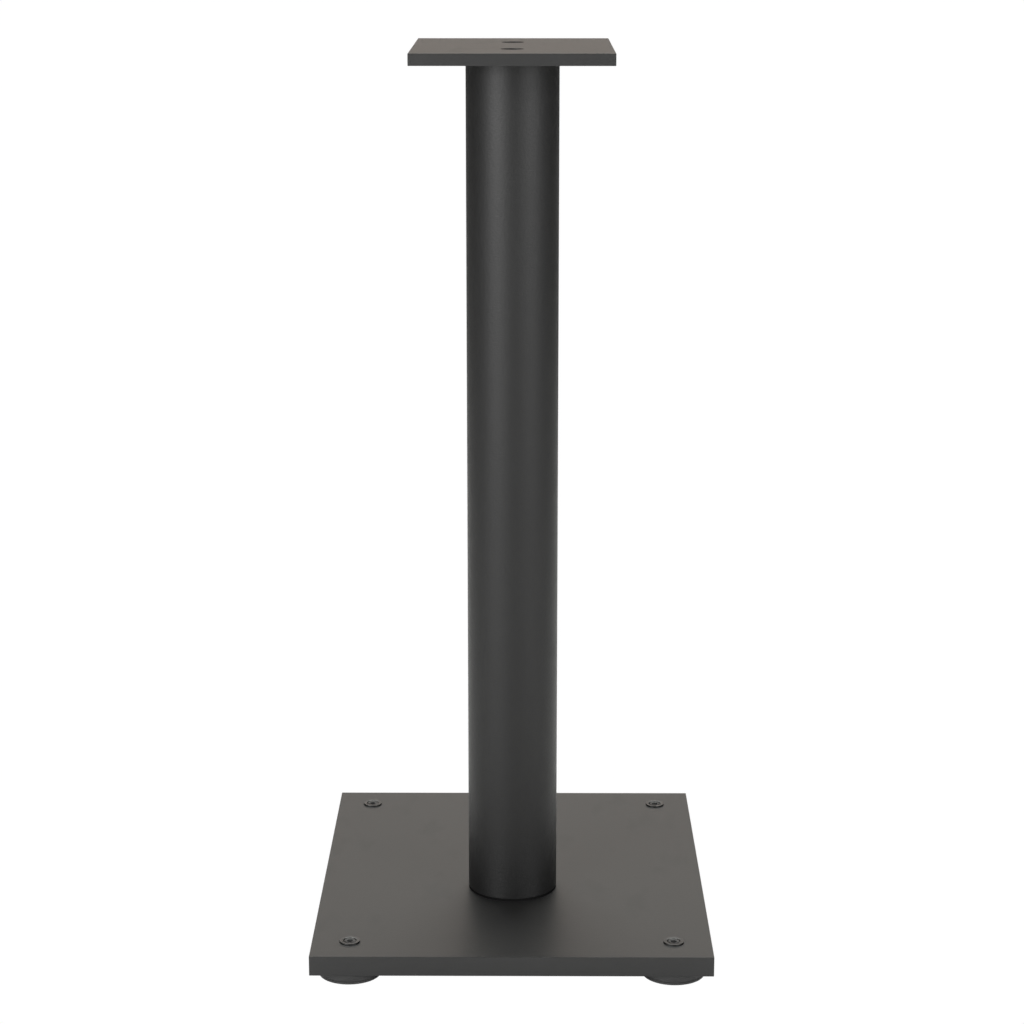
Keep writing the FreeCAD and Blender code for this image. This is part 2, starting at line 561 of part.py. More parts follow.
for corner, sx, sy in CORNERS:
    x, y = foot_x * sx, foot_y * sy
    short = corner.replace("_", "")

    # Threaded bush: flange on the base plate's upper face, body through the plate.
    bush = new_body("bush_" + corner)
    profile = new_sketch(bush, short + "BushProfile", role="XZ_Plane")
    bore = dim("thread_major") / 2 + dim("thread_play")
    bush_top = dim("base_thick") + dim("bush_flange_thick")
    mouth = dim("bush_mouth") / 2
    polygon(profile, [(bore + 0.4, 0), (dim("bush_body") / 2 - 0.5, 0), (dim("bush_body") / 2, 0.5),
                      (dim("bush_body") / 2, dim("base_thick")),
                      (dim("bush_flange") / 2, dim("base_thick")),
                      (dim("bush_flange") / 2, bush_top - 0.3),
                      (dim("bush_flange") / 2 - 0.3, bush_top),
                      (mouth, bush_top), (bore, bush_top - (mouth - bore)), (bore, 0.4)])
    revolve(bush, short + "BushTurned", profile)
    place(bush, x=x, y=y, z=dim("floor_gap"))
    sub_parts.append(bush)

    # Levelling stud: a collar at its foot, a bevelled end with a hexagon socket at its top.
    stud = new_body("stud_" + corner)
    profile = new_sketch(stud, short + "StudProfile", role="XZ_Plane")
    stud_long = base_top + dim("bush_flange_thick") - dim("stud_sunk") - dim("collar_height")
    shank = dim("thread_major") / 2
    collar = dim("collar_outer") / 2
    polygon(profile, [(0, 0), (collar - 0.3, 0), (collar, 0.3), (collar, dim("collar_thick") - 0.2),
                      (collar - 0.2, dim("collar_thick")), (shank, dim("collar_thick")),
                      (shank, stud_long - dim("stud_bevel")),
                      (shank - dim("stud_bevel"), stud_long), (0, stud_long)])
    revolve(stud, short + "StudTurned", profile)
    socket = new_sketch(stud, short + "StudSocketOutline", lift=stud_long - dim("stud_socket_deep"))
    hexagon(socket, dim("stud_socket"))
    pocket(stud, short + "StudSocket", socket, dim("stud_socket_deep") + 1.0)
    turn = {"front_left": 0.0, "front_right": 21.0, "rear_left": 12.0, "rear_right": 38.0}[corner]
    place(stud, x=x, y=y, z=dim("collar_height"), turn=turn)
    sub_parts.append(stud)

    # Foot disc: a pocket in its top holds the collar, a groove in the pocket holds the ring.
    foot = new_body("foot_disc_" + corner)
    profile = new_sketch(foot, short + "FootProfile", role="XZ_Plane")
    outer = dim("foot_outer") / 2
    edge = dim("foot_edge")
    groove = dim("ring_groove") / 2
    wall = dim("foot_pocket") / 2
    polygon(profile, [(0, dim("sole_thick")), (outer - edge, dim("sole_thick")),
                      (outer, dim("sole_thick") + edge), (outer, dim("foot_top") - edge),
                      (outer - edge, dim("foot_top")), (wall + 0.3, dim("foot_top")),
                      (wall, dim("foot_top") - 0.3), (wall, dim("ring_groove_high")),
                      (groove, dim("ring_groove_high")), (groove, dim("ring_groove_low")),
                      (wall, dim("ring_groove_low")), (wall, dim("foot_pocket_floor")),
                      (0, dim("foot_pocket_floor"))])
    revolve(foot, short + "FootTurned", profile)
    place(foot, x=x, y=y)
    sub_parts.append(foot)

    # Rubber sole, glued under the disc.
    sole = new_body("foot_sole_" + corner)
    disc = new_sketch(sole, short + "SoleOutline")
    circle(disc, 0, 0, dim("sole_outer"))
    blank = pad(sole, short + "SoleDisc", disc, dim("sole_thick"))
    dress(sole, "Chamfer", short + "SoleEdge", blank,
          circular_edges(blank.Shape, lambda r, z: z < 0.5), dim("sole_bevel"))
    place(sole, x=x, y=y)
    sub_parts.append(sole)

    # Retaining ring: an open spring ring with a lug and an eye at each end.
    hoop = doc.addObject("Part::Cylinder", short + "Hoop")
    hoop.setExpression("Radius", "Dimensions.ring_outer / 2")
    hoop.setExpression("Height", "Dimensions.ring_thick")
    hollow = doc.addObject("Part::Cylinder", short + "HoopHollow")
    hollow.setExpression("Radius", "Dimensions.ring_inner / 2")
    hollow.setExpression("Height", "Dimensions.ring_thick * 3")
    hollow.setExpression("Placement.Base.z", "0 - Dimensions.ring_thick")
    band = doc.addObject("Part::Cut", short + "Band")
    band.Base = hoop
    band.Tool = hollow
    gap = doc.addObject("Part::Box", short + "BandGap")
    gap.setExpression("Length", "Dimensions.ring_gap")
    gap.setExpression("Width", "Dimensions.ring_outer")
    gap.setExpression("Height", "Dimensions.ring_thick * 3")
    gap.setExpression("Placement.Base.x", "0 - Dimensions.ring_gap / 2")
    gap.setExpression("Placement.Base.z", "0 - Dimensions.ring_thick")
    opened = doc.addObject("Part::Cut", short + "OpenBand")
    opened.Base = band
    opened.Tool = gap
    lugs = []
    eyes = []
    for side in (-1.0, 1.0):
        lug_x = (dim("ring_gap") / 2 + dim("ring_lug") / 2 - 0.15) * side
        lug = doc.addObject("Part::Cylinder", short + "Lug")
        lug.setExpression("Radius", "Dimensions.ring_lug / 2")
        lug.setExpression("Height", "Dimensions.ring_thick")
        place(lug, x=lug_x, y=dim("ring_lug_out"))
        lugs.append(lug)
        eye = doc.addObject("Part::Cylinder", short + "Eye")
        eye.setExpression("Radius", "Dimensions.ring_eye / 2")
        eye.setExpression("Height", "Dimensions.ring_thick * 3")
        place(eye, x=lug_x, y=dim("ring_lug_out"), z=-dim("ring_thick"))
        eyes.append(eye)
    full = doc.addObject("Part::MultiFuse", short + "RingBlank")
    full.Shapes = [opened] + lugs
    # The lugs' outer sides are trimmed to the ring's own outside diameter.
    trim = doc.addObject("Part::Cylinder", short + "RingTrim")
    trim.setExpression("Radius", "Dimensions.ring_outer / 2")
    trim.setExpression("Height", "Dimensions.ring_thick")
    trimmed = doc.addObject("Part::Common", short + "RingTrimmed")
    trimmed.Base = full
    trimmed.Tool = trim
    drills = doc.addObject("Part::MultiFuse", short + "RingEyes")
    drills.Shapes = eyes
    keeper = doc.addObject("Part::Cut", "retaining_ring_" + corner)
    keeper.Label = "retaining_ring_" + corner
    keeper.Base = trimmed
    keeper.Tool = drills
    place(keeper, x=x, y=y, z=dim("ring_groove_low") + 0.05,
          turn={"front_left": 0.0, "front_right": 90.0, "rear_left": 200.0, "rear_right": 310.0}[corner])
    sub_parts.append(keeper)

doc.recompute()

# ---------------------------------------------------------------- checks, then the files
for thing in doc.Objects:
    state = " ".join(thing.State)
    if "Invalid" in state or "Error" in state:
        raise RuntimeError("%s (%s) is %s" % (thing.Label, thing.Name, state))

SOLIDS = {"base_spigot_screws": 3, "top_spigot_screws": 4}
labels = [piece.Label for piece in sub_parts]
if len(set(labels)) != len(labels) or len(labels) > 60:
    raise RuntimeError("labels repeat, or there are too many")
for piece in sub_parts:
    shape = piece.Shape
    if shape.isNull() or not shape.isValid():
        raise RuntimeError(piece.Label + " has no valid shape")
    if len(shape.Solids) != SOLIDS.get(piece.Label, 1):
        raise RuntimeError("%s has %d solids" % (piece.Label, len(shape.Solids)))

os.makedirs("parts", exist_ok=True)
for piece in sub_parts:
    piece.Shape.exportStep("parts/%s.step" % piece.Label)
    box = piece.Shape.BoundBox
    print("%-28s %9.1f mm3  x %8.2f %8.2f  y %8.2f %8.2f  z %7.2f %7.2f" % (
        piece.Label, piece.Shape.Volume, box.XMin, box.XMax, box.YMin, box.YMax, box.ZMin, box.ZMax))
print(len(sub_parts), "pieces")
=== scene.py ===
import bpy
import bmesh
import math
from mathutils import Vector, Matrix


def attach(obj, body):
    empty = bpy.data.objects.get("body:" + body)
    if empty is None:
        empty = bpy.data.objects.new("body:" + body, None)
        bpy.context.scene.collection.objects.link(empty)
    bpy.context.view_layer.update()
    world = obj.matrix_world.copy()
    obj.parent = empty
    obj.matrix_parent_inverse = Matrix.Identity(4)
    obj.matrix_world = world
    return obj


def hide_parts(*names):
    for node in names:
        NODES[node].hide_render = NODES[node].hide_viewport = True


# Looks of the speaker stand: paint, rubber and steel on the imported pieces, threaded studs,
# a pale floor and soft lights. Metres, +Z up, the front at -Y.

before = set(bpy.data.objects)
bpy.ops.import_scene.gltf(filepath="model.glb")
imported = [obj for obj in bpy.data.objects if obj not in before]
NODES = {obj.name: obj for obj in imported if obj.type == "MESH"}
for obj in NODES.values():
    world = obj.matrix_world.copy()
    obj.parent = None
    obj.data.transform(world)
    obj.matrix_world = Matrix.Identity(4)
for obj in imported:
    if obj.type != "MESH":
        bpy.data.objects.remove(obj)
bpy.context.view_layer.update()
scene = bpy.context.scene

COLUMN_Y = -0.0312
CORNERS = {"front_left": (-0.1071, -0.1312), "front_right": (0.1071, -0.1312),
           "rear_left": (-0.1071, 0.1312), "rear_right": (0.1071, 0.1312)}

# ------------------------------------------------------------------ camera
YAW = math.radians(0.323)
PITCH = math.radians(13.718)
camera_data = bpy.data.cameras.new("camera")
camera_data.sensor_fit = "HORIZONTAL"
camera_data.sensor_width = 36.0
camera_data.lens = 2580.0 / 1024.0 * 36.0
camera_data.clip_start = 0.05
camera_data.clip_end = 100.0
camera = bpy.data.objects.new("camera", camera_data)
scene.collection.objects.link(camera)
camera.location = (0.00915, -1.72158, 0.70244)
camera.rotation_euler = (math.pi / 2 - PITCH, 0.0, YAW)
scene.camera = camera

scene.view_settings.view_transform = "Standard"
scene.view_settings.look = "None"


# ------------------------------------------------------------------ node helpers
class Nodes:
    """Short-hand for building a material's nodes."""

    def __init__(self, name):
        self.material = bpy.data.materials.new(name)
        self.material.use_nodes = True
        self.tree = self.material.node_tree
        self.tree.nodes.clear()
        self.out = self.tree.nodes.new("ShaderNodeOutputMaterial")
        self.shader = self.tree.nodes.new("ShaderNodeBsdfPrincipled")
        self.tree.links.new(self.shader.outputs[0], self.out.inputs["Surface"])
        self.coords = self.tree.nodes.new("ShaderNodeTexCoord").outputs["Object"]

    def add(self, kind, **settings):
        node = self.tree.nodes.new(kind)
        for key, value in settings.items():
            setattr(node, key, value)
        return node

    def link(self, a, b):
        self.tree.links.new(a, b)

    def mapped(self, scale=(1, 1, 1), location=(0, 0, 0), rotation=(0, 0, 0)):
        node = self.add("ShaderNodeMapping")
        node.inputs["Location"].default_value = location
        node.inputs["Rotation"].default_value = rotation
        node.inputs["Scale"].default_value = scale
        self.link(self.coords, node.inputs["Vector"])
        return node.outputs[0]

    def noise(self, scale, detail=2.0, roughness=0.5, vector=None, distortion=0.0):
        node = self.add("ShaderNodeTexNoise")
        node.inputs["Scale"].default_value = scale
        node.inputs["Detail"].default_value = detail
        node.inputs["Roughness"].default_value = roughness
        node.inputs["Distortion"].default_value = distortion
        self.link(vector or self.coords, node.inputs["Vector"])
        return node.outputs["Fac"]

    def voronoi(self, scale, vector=None, feature="F1", randomness=1.0):
        node = self.add("ShaderNodeTexVoronoi", feature=feature)
        node.inputs["Scale"].default_value = scale
        node.inputs["Randomness"].default_value = randomness
        self.link(vector or self.coords, node.inputs["Vector"])
        return node.outputs["Distance"]

    def remap(self, value, low, high, to_low, to_high):
        node = self.add("ShaderNodeMapRange")
        node.inputs["From Min"].default_value = low
        node.inputs["From Max"].default_value = high
        node.inputs["To Min"].default_value = to_low
        node.inputs["To Max"].default_value = to_high
        self.link(value, node.inputs["Value"])
        return node.outputs["Result"]

    def math(self, operation, a, b=None):
        node = self.add("ShaderNodeMath", operation=operation)
        for k, value in enumerate((a, b)):
            if value is None:
                continue
            if isinstance(value, (int, float)):
                node.inputs[k].default_value = value
            else:
                self.link(value, node.inputs[k])
        return node.outputs[0]

    def blend_colours(self, factor, one, two):
        node = self.add("ShaderNodeMix", data_type="RGBA")
        for socket, value in ((node.inputs[6], one), (node.inputs[7], two)):
            if isinstance(value, (tuple, list)):
                socket.default_value = (*value, 1.0)
            else:
                self.link(value, socket)
        if isinstance(factor, (int, float)):
            node.inputs[0].default_value = factor
        else:
            self.link(factor, node.inputs[0])
        return node.outputs[2]

    def bump(self, height, distance, strength=1.0, normal=None):
        node = self.add("ShaderNodeBump")
        node.inputs["Distance"].default_value = distance
        node.inputs["Strength"].default_value = strength
        self.link(height, node.inputs["Height"])
        if normal is not None:
            self.link(normal, node.inputs["Normal"])
        return node.outputs[0]

    def set(self, socket, value):
        target = self.shader.inputs[socket]
        if isinstance(value, (int, float)):
            target.default_value = value
        elif isinstance(value, (tuple, list)):
            target.default_value = (*value, 1.0) if len(value) == 3 else value
        else:
            self.link(value, target)


def wear(node, *objects):
    for thing in objects:
        if isinstance(thing, str):
            thing = NODES[thing]
        thing.data.materials.clear()
        thing.data.materials.append(node.material)


# ------------------------------------------------------------------ turned and threaded pieces
MM = 0.001


class Turning:
    """One closed skin, built up from rings of points about a vertical axis. Millimetres."""

    def __init__(self, steps=48):
        self.steps = steps
        self.points = []
        self.faces = []
        self.last = None

    def ring(self, radius, z, join=True):
        """A ring of points; radius and z are numbers or functions of the angle."""
        ids = []
        for k in range(self.steps):
            a = 2 * math.pi * k / self.steps
            r = radius(a) if callable(radius) else radius
            h = z(a) if callable(z) else z
            ids.append(len(self.points))
            self.points.append((r * math.cos(a), r * math.sin(a), h))
        if join and self.last is not None:
            self.bridge(self.last, ids)
        self.last = ids
        return ids

    def bridge(self, low, high):
        for k in range(self.steps):
            j = (k + 1) % self.steps
            self.faces.append((low[k], low[j], high[j], high[k]))

    def tip(self, z, ring=None):
        """Closes a ring to a point on the axis."""
        ring = ring or self.last
        apex = len(self.points)
        self.points.append((0.0, 0.0, z))
        for k in range(self.steps):
            self.faces.append((ring[k], ring[(k + 1) % self.steps], apex))

    def helix(self, low, high, shape, pitch, phase=0.0, trim=None):
        """Joins two rings by a right-hand thread. shape holds (share of the pitch, radius) pairs,
        trim(radius, height above the low ring, height below the high ring) gives the radius kept."""
        z_low, z_high = self.points[low[0]][2], self.points[high[0]][2]
        per = len(shape)
        rows = per * (int((z_high - z_low) / pitch) + 5)
        base = math.floor((z_low - phase) / pitch - 2.0) * pitch + phase
        near = 0.04 * pitch
        columns = []
        for k in range(self.steps):
            a = 2 * math.pi * k / self.steps
            column = []
            for m in range(rows + per + 1):
                share, r = shape[m % per]
                z = base + (m // per + share + k / self.steps) * pitch
                if z <= z_low + near:
                    column.append(low[k])
                elif z >= z_high - near:
                    column.append(high[k])
                else:
                    if trim is not None:
                        r = trim(r, z - z_low, z_high - z)
                    column.append(len(self.points))
                    self.points.append((r * math.cos(a), r * math.sin(a), z))
            columns.append(column)
        for k in range(self.steps):
            one = columns[k]
            two = columns[k + 1] if k + 1 < self.steps else columns[0][per:]
            for m in range(rows):
                corners = []
                for c in (one[m], two[m], two[m + 1], one[m + 1]):
                    if c not in corners:
                        corners.append(c)
                if len(corners) >= 3:
                    self.faces.append(tuple(corners))


def hexagon(flats):
    """Radius of a hexagon as a function of the angle, two of its corners on X."""
    def radius(a):
        return flats / 2 / math.cos((a % (math.pi / 3)) - math.pi / 6)
    return radius


def thread_shape(major, pitch, gap=0.0):
    """A 60 degree thread's outline along one pitch: root, flank, crest, flank."""
    deep = 0.5725 * pitch
    slope = deep * math.tan(math.radians(30)) / pitch
    root = 1.0 - 0.125 - 2 * slope
    low, high = major / 2 - deep + gap, major / 2 + gap
    return [(0.0, low), (root, low), (root + slope, high), (root + slope + 0.125, high)]


def thread_radius(shape, pitch, a, z):
    """The thread's own radius at an angle and a height, where a threaded piece is cut off square."""
    share = (z / pitch - a / (2 * math.pi)) % 1.0
    points = shape + [(1.0, shape[0][1])]
    for (s0, r0), (s1, r1) in zip(points, points[1:]):
        if share <= s1:
            return r0 + (r1 - r0) * (share - s0) / (s1 - s0)
    return shape[0][1]


def made(name, parts, sharp=32.0):
    """An object from closed skins, each given as (turning, place, turn about Z in degrees)."""
    points, faces = [], []
    for turning, place, turn in parts:
        shift = len(points)
        where = Matrix.Translation(Vector(place)) @ Matrix.Rotation(math.radians(turn), 4, "Z")
        points += [(where @ Vector(p)) * MM for p in turning.points]
        faces += [tuple(k + shift for k in face) for face in turning.faces]
    mesh = bpy.data.meshes.new(name)
    mesh.from_pydata([tuple(p) for p in points], [], faces)
    work = bmesh.new()
    work.from_mesh(mesh)
    bmesh.ops.recalc_face_normals(work, faces=work.faces)
    work.to_mesh(mesh)
    work.free()
    mesh.shade_smooth()
    mesh.set_sharp_from_angle(angle=math.radians(sharp))
    mesh.update()
    thing = bpy.data.objects.new(name, mesh)
    scene.collection.objects.link(thing)
    return thing


M8 = thread_shape(8.0, 1.25)
M8_HOLE = thread_shape(8.0, 1.25, gap=0.05)
M5 = thread_shape(5.0, 0.8)


def stud_turning():
    """Levelling stud: collar, neck, M8 thread, hexagon socket in its upper end."""
    t = Turning(96)
    first = t.ring(6.7, 3.45)
    t.tip(3.45, first)
    t.ring(6.92, 3.54)
    t.ring(7.0, 3.75)
    t.ring(7.0, 5.75)
    t.ring(6.8, 5.95)
    t.ring(3.75, 5.95)
    t.ring(3.45, 6.05)
    t.ring(3.3, 6.35)
    low = t.ring(3.25, 6.7)
    high = t.ring(lambda a: min(3.65, thread_radius(M8, 1.25, a, 22.4) - 0.1), 22.4, join=False)
    t.helix(low, high, M8, 1.25, trim=lambda r, up, down: min(r, 3.25 + up, 3.65 + down))
    socket = hexagon(4.0)
    t.ring(2.62, 22.4)
    t.ring(lambda a: socket(a), lambda a: 22.4 - (2.62 - socket(a)) * 0.55)
    t.ring(lambda a: socket(a), 17.9)
    t.ring(lambda a: socket(a) * 0.94, 17.82)
    t.tip(17.2)
    return t


def bush_turning():
    """Threaded bush: flange on the plate, its top sloping in to a round mouth, M8 thread inside."""
    t = Turning(96)
    start = t.ring(4.45, 8.2)
    t.ring(5.0, 8.2)
    t.ring(5.5, 8.7)
    t.ring(5.5, 21.6)
    t.ring(6.8, 21.6)
    t.ring(6.8, 22.5)
    t.ring(6.785, 22.58)
    t.ring(6.74, 22.645)
    t.ring(6.67, 22.685)
    t.ring(6.58, 22.7)
    t.ring(4.5, 22.5)
    t.ring(4.43, 22.46)
    t.ring(4.4, 22.38)
    high = t.ring(4.05, 21.96)
    low = t.ring(4.05, 8.6, join=False)
    t.helix(low, high, M8_HOLE, 1.25, trim=lambda r, up, down: max(r, 4.05 - up, 4.05 - down))
    t.bridge(low, start)
    return t


def rod_turning():
    """Tie rod: plain bar with an M8 thread on each end."""
    t = Turning()
    deep = 0.5725 * 1.25
    first = t.ring(3.1, 8.4)
    t.tip(8.4, first)
    high = t.ring(3.95, 40.0, join=False)
    t.helix(first, high, M8, 1.25,
            trim=lambda r, up, down: max(min(r, 3.1 + up), 3.95 - down * deep / 2.2) if down < 2.2 else min(r, 3.1 + up))
    t.last = high
    t.ring(3.95, 300.0)
    low = t.ring(3.95, 564.0)
    end = t.ring(3.1, 591.35, join=False)
    t.helix(low, end, M8, 1.25,
            trim=lambda r, up, down: max(min(r, 3.1 + down), 3.95 - up * deep / 2.2) if up < 2.2 else min(r, 3.1 + down))
    t.tip(591.35, end)
    return t


def nut_turning():
    """M8 nut, 13 mm across flats, its corners turned off at 30 degrees."""
    t = Turning()
    flats = hexagon(13.0)
    slope = math.tan(math.radians(30))
    start = t.ring(4.55, 8.7)
    t.ring(6.3, 8.7)
    t.ring(flats, lambda a: 8.7 + (flats(a) - 6.3) * slope)
    t.ring(flats, lambda a: 15.2 - (flats(a) - 6.3) * slope)
    t.ring(6.3, 15.2)
    t.ring(4.55, 15.2)
    high = t.ring(4.05, 14.7)
    low = t.ring(4.05, 9.2, join=False)
    t.helix(low, high, M8_HOLE, 1.25, trim=lambda r, up, down: max(r, 4.05 - up, 4.05 - down))
    t.bridge(low, start)
    return t


def screw_turning(length):
    """M5 countersunk screw, head down at zero, hexagon socket in the head."""
    t = Turning(36)
    socket = hexagon(3.0)
    inner = t.ring(lambda a: socket(a) * 0.94, 2.0)
    t.tip(2.4, inner)
    t.ring(lambda a: socket(a), 1.94)
    t.ring(lambda a: socket(a), lambda a: (1.98 - socket(a)) * 0.55)
    t.ring(1.98, 0.0)
    t.ring(4.85, 0.0)
    t.ring(4.96, 0.05)
    t.ring(5.0, 0.14)
    t.ring(5.0, 0.3)
    t.ring(2.6, 2.7)
    t.ring(2.3, 3.1)
    low = t.ring(2.05, 3.5)
    high = t.ring(2.0, length, join=False)
    t.helix(low, high, M5, 0.8, trim=lambda r, up, down: min(r, 2.05 + up, 2.0 + down))
    t.tip(length, high)
    return t


TURN = {"front_left": 0.0, "front_right": 21.0, "rear_left": 12.0, "rear_right": 38.0}
STUDS, BUSHES = {}, {}
for corner, (cx, cy) in CORNERS.items():
    spot = (cx * 1000, cy * 1000, 0.0)
    STUDS[corner] = made("levelling_stud_" + corner, [(stud_turning(), spot, TURN[corner])])
    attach(STUDS[corner], "screw_" + corner)
    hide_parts("stud_" + corner)
    BUSHES[corner] = made("threaded_bush_" + corner, [(bush_turning(), spot, TURN[corner])])
    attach(BUSHES[corner], "stand")
    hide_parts("bush_" + corner)

COLUMN_AXIS = (0.0, COLUMN_Y * 1000, 0.0)
ROD = made("threaded_tie_rod", [(rod_turning(), COLUMN_AXIS, 0.0)])
NUT = made("hexagon_nut", [(nut_turning(), COLUMN_AXIS, 0.0)])
BASE_SCREWS = made("countersunk_screws_base", [
    (screw_turning(20.0), (19.0 * math.cos(math.radians(a)), COLUMN_AXIS[1] + 19.0 * math.sin(math.radians(a)), 8.3),
     17.0 + 41.0 * k) for k, a in enumerate((90, 210, 330))])
TOP_SCREWS = made("countersunk_screws_top", [
    (screw_turning(16.0), (20.0 * math.cos(math.radians(a)), COLUMN_AXIS[1] + 20.0 * math.sin(math.radians(a)), 580.45),
     9.0 + 23.0 * k) for k, a in enumerate((45, 135, 225, 315))])
for piece, node, finish in ((ROD, "tie_rod", "zinc_fastener"), (NUT, "tie_rod_nut", "zinc_fastener"),
                            (BASE_SCREWS, "base_spigot_screws", "black_fastener"),
                            (TOP_SCREWS, "top_spigot_screws", "black_fastener")):
    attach(piece, "stand")
    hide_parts(node)


# ------------------------------------------------------------------ materials
def plate_paint():
    """Satin powder coat on the flat plates: faint orange peel, faint unevenness of the gloss."""
    n = Nodes("plate_paint")
    cloud = n.noise(9.0, 3.0, 0.55)
    fine = n.noise(620.0, 2.0, 0.5)
    micro = n.noise(2600.0, 2.0, 0.5)
    tone = n.blend_colours(n.remap(cloud, 0.3, 0.7, 0.0, 1.0), (0.0102, 0.0102, 0.0102), (0.0116, 0.0116, 0.0115))
    n.set("Base Color", tone)
    rub = n.noise(38.0, 2.0, 0.6, n.mapped(scale=(1.0, 0.45, 1.0), rotation=(0.0, 0.0, 0.5)))
    gloss = n.math("ADD", n.remap(cloud, 0.3, 0.7, 0.43, 0.445), n.remap(rub, 0.56, 0.74, 0.0, 0.035))
    n.set("Roughness", n.math("ADD", gloss, n.remap(micro, 0.3, 0.7, -0.02, 0.02)))
    n.shader.inputs["Specular IOR Level"].default_value = 0.3
    n.set("Normal", n.bump(micro, 0.00002, 0.7, n.bump(fine, 0.00005, 0.7)))
    return n


def tube_paint():
    """Satin powder coat with a fine texture on the column."""
    n = Nodes("tube_paint")
    cloud = n.noise(14.0, 3.0, 0.55)
    grain = n.noise(900.0, 3.0, 0.6)
    speck = n.noise(1900.0, 2.0, 0.5)
    tone = n.blend_colours(n.remap(cloud, 0.3, 0.7, 0.0, 1.0), (0.0028, 0.0028, 0.0028), (0.0034, 0.0034, 0.0034))
    n.set("Base Color", tone)
    peel = n.noise(420.0, 2.0, 0.5, n.mapped(scale=(1.0, 1.0, 1.7)))
    n.set("Roughness", n.math("ADD", n.remap(cloud, 0.3, 0.7, 0.49, 0.51), n.remap(grain, 0.3, 0.7, -0.03, 0.03)))
    n.shader.inputs["Specular IOR Level"].default_value = 0.3
    n.set("Normal", n.bump(speck, 0.00003, 0.8, n.bump(grain, 0.00008, 0.8, n.bump(peel, 0.00012, 0.7))))
    return n


def rubber(name, colour, rough, specular=0.5):
    n = Nodes(name)
    n.shader.inputs["Specular IOR Level"].default_value = specular
    grain = n.noise(1500.0, 3.0, 0.6)
    cloud = n.noise(60.0, 2.0, 0.5)
    n.set("Base Color", n.blend_colours(cloud, tuple(c * 0.85 for c in colour), tuple(c * 1.2 for c in colour)))
    n.set("Roughness", n.remap(grain, 0.3, 0.7, rough - 0.06, rough + 0.06))
    n.set("Normal", n.bump(grain, 0.00004, 0.5))
    return n


def metal(name, colour, rough, turned=None, grain=1400.0, depth=0.00001):
    """Bare or plated metal; turned is the axis point of its turning marks."""
    n = Nodes(name)
    cloud = n.noise(160.0, 3.0, 0.6)
    fine = n.noise(grain, 2.0, 0.5)
    n.set("Base Color", n.blend_colours(n.remap(cloud, 0.3, 0.7, 0.0, 1.0), tuple(c * 0.9 for c in colour), tuple(min(1.0, c * 1.1) for c in colour)))
    n.shader.inputs["Metallic"].default_value = 1.0
    n.set("Roughness", n.remap(fine, 0.3, 0.7, rough - 0.05, rough + 0.05))
    normal = n.bump(fine, depth, 0.5)
    if turned is not None:
        moved = n.mapped(location=(-turned[0], -turned[1], 0.0))
        parts = n.add("ShaderNodeSeparateXYZ")
        n.link(moved, parts.inputs[0])
        radius = n.math("SQRT", n.math("ADD", n.math("MULTIPLY", parts.outputs[0], parts.outputs[0]),
                                       n.math("MULTIPLY", parts.outputs[1], parts.outputs[1])))
        rings = n.math("SINE", n.math("MULTIPLY", radius, 2 * math.pi / 0.00035))
        normal = n.bump(rings, 0.000004, 0.6, normal)
    n.set("Normal", normal)
    return n


PLATE = plate_paint()
TUBE = tube_paint()
wear(PLATE, "base_plate", "top_plate")
wear(TUBE, "column_tube")
wear(rubber("gasket_rubber", (0.003, 0.003, 0.003), 0.85, 0.06), "column_gasket")
SOLE = rubber("sole_rubber", (0.016, 0.016, 0.016), 0.46, 0.4)
BUSH = metal("bush_black", (0.048, 0.048, 0.048), 0.4)
STUD = rubber("stud_black", (0.032, 0.032, 0.032), 0.4, 0.14)
RING = metal("spring_steel", (0.2, 0.2, 0.205), 0.35)
FOOT = Nodes("foot_paint")
FOOT.set("Base Color", FOOT.blend_colours(FOOT.remap(FOOT.noise(60.0, 3.0), 0.3, 0.7, 0.0, 1.0),
                                          (0.0128, 0.0128, 0.0128), (0.0148, 0.0148, 0.0146)))
FOOT.shader.inputs["Specular IOR Level"].default_value = 0.42
FOOT.set("Roughness", FOOT.remap(FOOT.noise(900.0, 2.0), 0.3, 0.7, 0.4, 0.46))
FOOT.set("Normal", FOOT.bump(FOOT.noise(700.0, 2.0), 0.00003, 0.4))
for corner in CORNERS:
    wear(SOLE, "foot_sole_" + corner)
    wear(BUSH, "bush_" + corner, BUSHES[corner])
    wear(STUD, "stud_" + corner, STUDS[corner])
    wear(RING, "retaining_ring_" + corner)
    wear(FOOT, "foot_disc_" + corner)
wear(metal("black_fastener", (0.06, 0.06, 0.062), 0.4), "base_spigot_screws", "top_spigot_screws",
     BASE_SCREWS, TOP_SCREWS)
wear(metal("zinc_fastener", (0.62, 0.63, 0.65), 0.32), "tie_rod", "tie_rod_washer", "tie_rod_nut", ROD, NUT)
wear(metal("spigot_steel", (0.5, 0.5, 0.51), 0.34, turned=(0.0, COLUMN_Y)), "base_spigot", "top_spigot")


# ------------------------------------------------------------------ floor
def floor_material():
    n = Nodes("floor_white")
    n.set("Base Color", (0.93, 0.93, 0.93))
    n.set("Roughness", n.remap(n.noise(40.0, 2.0), 0.3, 0.7, 0.85, 0.95))
    n.shader.inputs["Specular IOR Level"].default_value = 0.1
    # Seen from underneath, the floor lets the object's underside show.
    back = n.add("ShaderNodeNewGeometry").outputs["Backfacing"]
    clear = n.add("ShaderNodeBsdfTransparent")
    mixer = n.add("ShaderNodeMixShader")
    n.link(back, mixer.inputs[0])
    n.link(n.shader.outputs[0], mixer.inputs[1])
    n.link(clear.outputs[0], mixer.inputs[2])
    n.link(mixer.outputs[0], n.out.inputs["Surface"])
    return n


